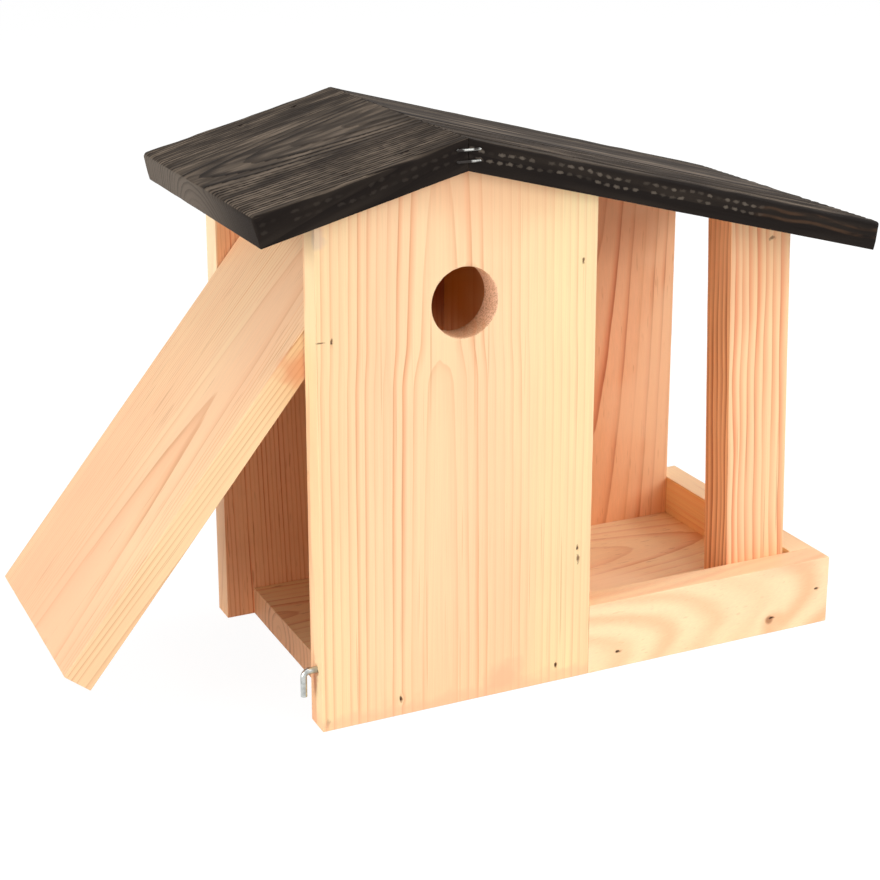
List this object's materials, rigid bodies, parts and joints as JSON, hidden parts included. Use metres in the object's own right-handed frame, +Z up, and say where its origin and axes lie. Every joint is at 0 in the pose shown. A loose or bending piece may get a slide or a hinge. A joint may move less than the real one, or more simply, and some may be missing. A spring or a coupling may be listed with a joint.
{
  "type": "bird house feeder",
  "caption": "Wooden bird house with a round-entrance nest box, an open railed feeder bay, a stained gable roof and a swing-up side door held by a turning hook latch.",
  "frame": {"origin": "middle of the house's footprint, on the underside of the floor board", "axes": "+Z up, +X from the nest box towards the feeder bay, -Y out of the front with the entrance hole"},
  "size_m": [0.4006, 0.1606, 0.2659],
  "materials": {
    "pine_wood": "planed, untreated",
    "stained_wood": "rough sawn, dark stain",
    "zinc_steel": "zinc plated",
    "nail_steel": "dull bright steel"
  },
  "bodies": {
    "house": {"front_panel": "pine_wood", "back_panel": "pine_wood", "floor_board": "pine_wood", "partition_wall": "pine_wood", "front_rail": "pine_wood", "end_rail": "pine_wood", "corner_post": "pine_wood", "roof_board_left": "stained_wood", "roof_board_right": "stained_wood", "door_pivot_nail_front": "nail_steel", "door_pivot_nail_back": "nail_steel", "front_floor_nails": "nail_steel", "front_partition_nails": "nail_steel", "back_floor_nails": "nail_steel", "back_partition_nails": "nail_steel", "rail_floor_nails": "nail_steel", "rail_corner_nail": "nail_steel", "end_rail_floor_nails": "nail_steel", "end_rail_back_nail": "nail_steel", "post_foot_nails": "nail_steel", "post_top_nail": "nail_steel", "roof_left_nails": "nail_steel", "roof_right_nails": "nail_steel", "ridge_staples": "zinc_steel"},
    "door": {"side_door": "pine_wood"},
    "latch": {"latch_hook": "zinc_steel"}
  },
  "joints": [
    {"name": "door_swing", "type": "hinge", "parent": "house", "child": "door", "pos_m": [-0.1305, 0, 0.182], "axis": [0, 1, 0], "range_deg": [-38.5, 91.5]},
    {"name": "latch_turn", "type": "hinge", "parent": "house", "child": "latch", "pos_m": [-0.1375, -0.066, 0.028], "axis": [-1, 0, 0], "range_deg": [-90, 90]}
  ]
}
